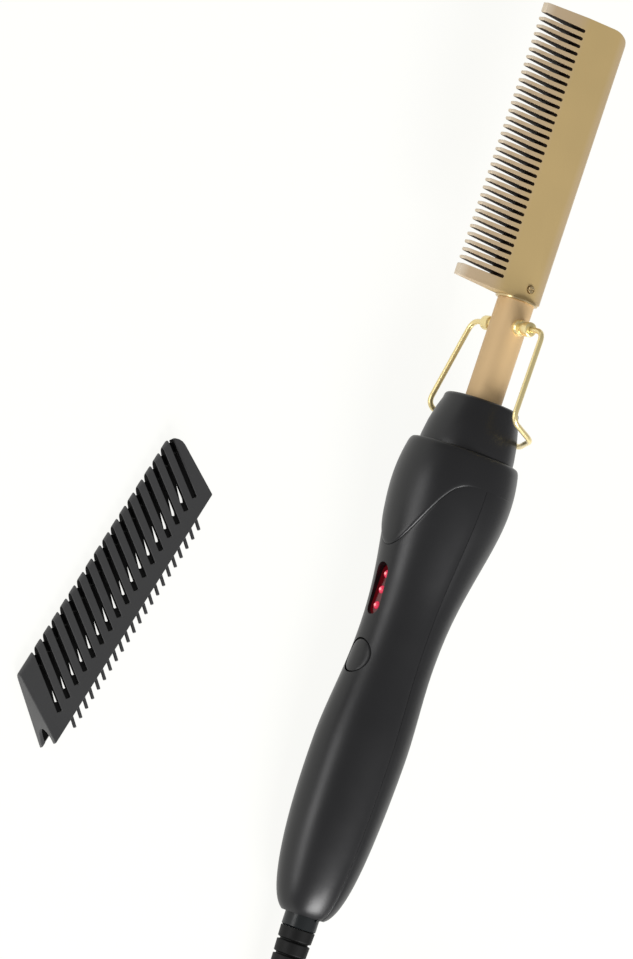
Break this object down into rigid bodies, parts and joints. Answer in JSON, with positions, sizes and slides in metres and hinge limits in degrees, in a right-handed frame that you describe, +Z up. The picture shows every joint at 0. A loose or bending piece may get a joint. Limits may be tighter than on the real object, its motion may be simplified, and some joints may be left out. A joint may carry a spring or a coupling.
{
  "type": "electric hot comb",
  "caption": "Electric hot comb: gold toothed head on a neck with folding wire stand, black bowed handle with red lamps and power button, swivel mains lead, plug and slotted tooth guard.",
  "frame": {"origin": "on the table, in the middle of the box round the comb and its guard, without the free lead and its plug", "axes": "+X from the cord end towards the head, +Y the way the teeth, lamps and button face, +Z up from the table"},
  "size_m": [0.3994, 0.201, 0.0453],
  "materials": {
    "gold_metal": "gold anodised, satin",
    "bright_gold": "polished",
    "heater_ceramic": "matt ceramic",
    "insulation": "polyimide film",
    "black_gloss": "polished black",
    "black_satin": "satin black",
    "button_black": "polished black",
    "bush_white": "heat resistant, matt",
    "bright_steel": "plated",
    "wire_white": "silicone insulation",
    "lens_red": "clear red tint",
    "lamp_red": "lit red lamp",
    "board_green": "solder mask",
    "component_grey": "moulded",
    "plunger_white": "moulded",
    "wire_brown": "insulation",
    "contact_brass": "bright",
    "cord_black": "satin",
    "tie_grey": "woven strap",
    "pin_plated": "nickel plated",
    "guard_black": "moulded satin black"
  },
  "bodies": {
    "comb": {"comb_head": "gold_metal", "end_plate": "gold_metal", "head_screws": "bright_steel", "heater_plates": "heater_ceramic", "heater_sleeve": "insulation", "temperature_sensor": "component_grey", "neck_tube": "gold_metal", "stand_lugs": "bright_gold", "nose_collar": "black_gloss", "neck_bush": "bush_white", "thermal_fuse": "bright_steel", "heater_leads": "wire_white", "handle_hood": "black_gloss", "front_shell": "black_gloss", "back_shell": "black_gloss", "shell_screws": "bright_steel", "window_lens": "lens_red", "lamps": "lamp_red", "circuit_board": "board_green", "board_parts": "component_grey", "switch_body": "component_grey", "mains_wires": "wire_brown", "swivel_socket": "black_satin", "ring_contacts": "contact_brass", "power_cord": "cord_black", "cord_coil": "cord_black", "coil_tie": "tie_grey", "plug_lead": "cord_black", "plug_body": "black_satin", "plug_pins": "pin_plated"},
    "stand": {"stand_wire": "bright_gold"},
    "button": {"power_button": "button_black", "switch_plunger": "plunger_white"},
    "swivel": {"strain_relief": "cord_black", "slip_rings": "contact_brass"},
    "guard": {"guard": "guard_black"}
  },
  "joints": [
    {"name": "stand_swing", "type": "hinge", "parent": "comb", "child": "stand", "pos_m": [0.06327, -0.0494, 0.02507], "axis": [-0.0819, 0, 0.9966], "range_deg": [0, 105]},
    {"name": "power_button_press", "type": "slide", "parent": "comb", "child": "button", "axis": [0, -1, 0], "range_m": [0, 0.0005], "stiffness_N_per_m": 300},
    {"name": "cord_swivel", "type": "hinge", "parent": "comb", "child": "swivel", "pos_m": [-0.1242, -0.0459, 0.00966], "axis": [0.9966, 0, 0.0819], "continuous": true},
    {"name": "guard_lift", "type": "slide", "parent": "comb", "child": "guard", "axis": [0, 0, 1], "range_m": [0, 0.06]}
  ]
}
